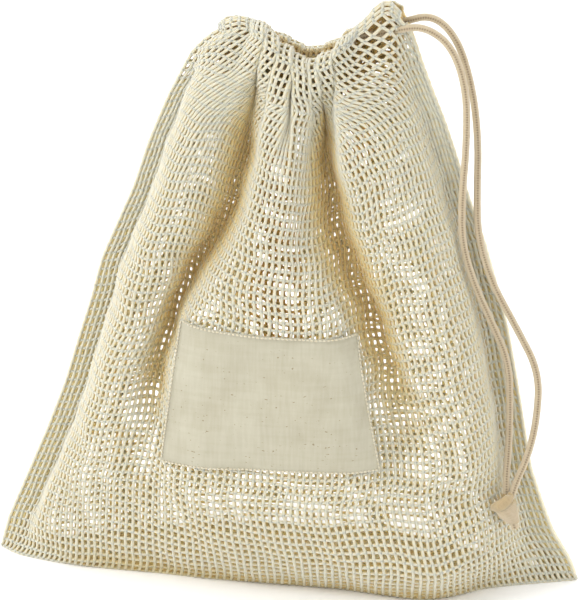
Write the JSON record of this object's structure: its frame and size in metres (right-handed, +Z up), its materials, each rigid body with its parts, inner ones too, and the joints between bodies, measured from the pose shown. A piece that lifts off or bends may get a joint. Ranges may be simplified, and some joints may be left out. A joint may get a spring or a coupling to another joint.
{
  "type": "mesh produce bag",
  "caption": "Cotton net drawstring bag standing on its opened base, mouth gathered by a cord tied in a knot, with a plain woven patch on the front.",
  "frame": {"origin": "on the floor under the middle of the bag, cord not counted", "axes": "+Z up, +X across the bag towards the side where the cord hangs, -Y the front with the patch"},
  "size_m": [0.306, 0.1122, 0.3049],
  "materials": {
    "net": "matt cotton net",
    "thread": "matt cotton thread",
    "patch": "unbleached plain weave",
    "cord": "knitted cotton cord"
  },
  "bodies": {
    "bag": {"front_net_panel": "net", "back_net_panel": "net", "left_seam_allowance": "net", "right_seam_allowance": "net", "left_overlock_stitching": "thread", "right_overlock_stitching": "thread", "front_casing_hem": "net", "back_casing_hem": "net", "front_hem_stitching": "thread", "back_hem_stitching": "thread", "label_patch": "patch", "patch_stitching": "thread", "drawcord_in_casing": "cord"},
    "drawcord": {"front_cord_strand": "cord", "back_cord_strand": "cord", "cord_knot": "cord", "front_cord_tail": "cord", "back_cord_tail": "cord"}
  },
  "joints": [
    {"name": "drawcord_pull", "type": "slide", "parent": "bag", "child": "drawcord", "axis": [0.9781, 0, 0.2079], "range_m": [0, 0.02]}
  ]
}
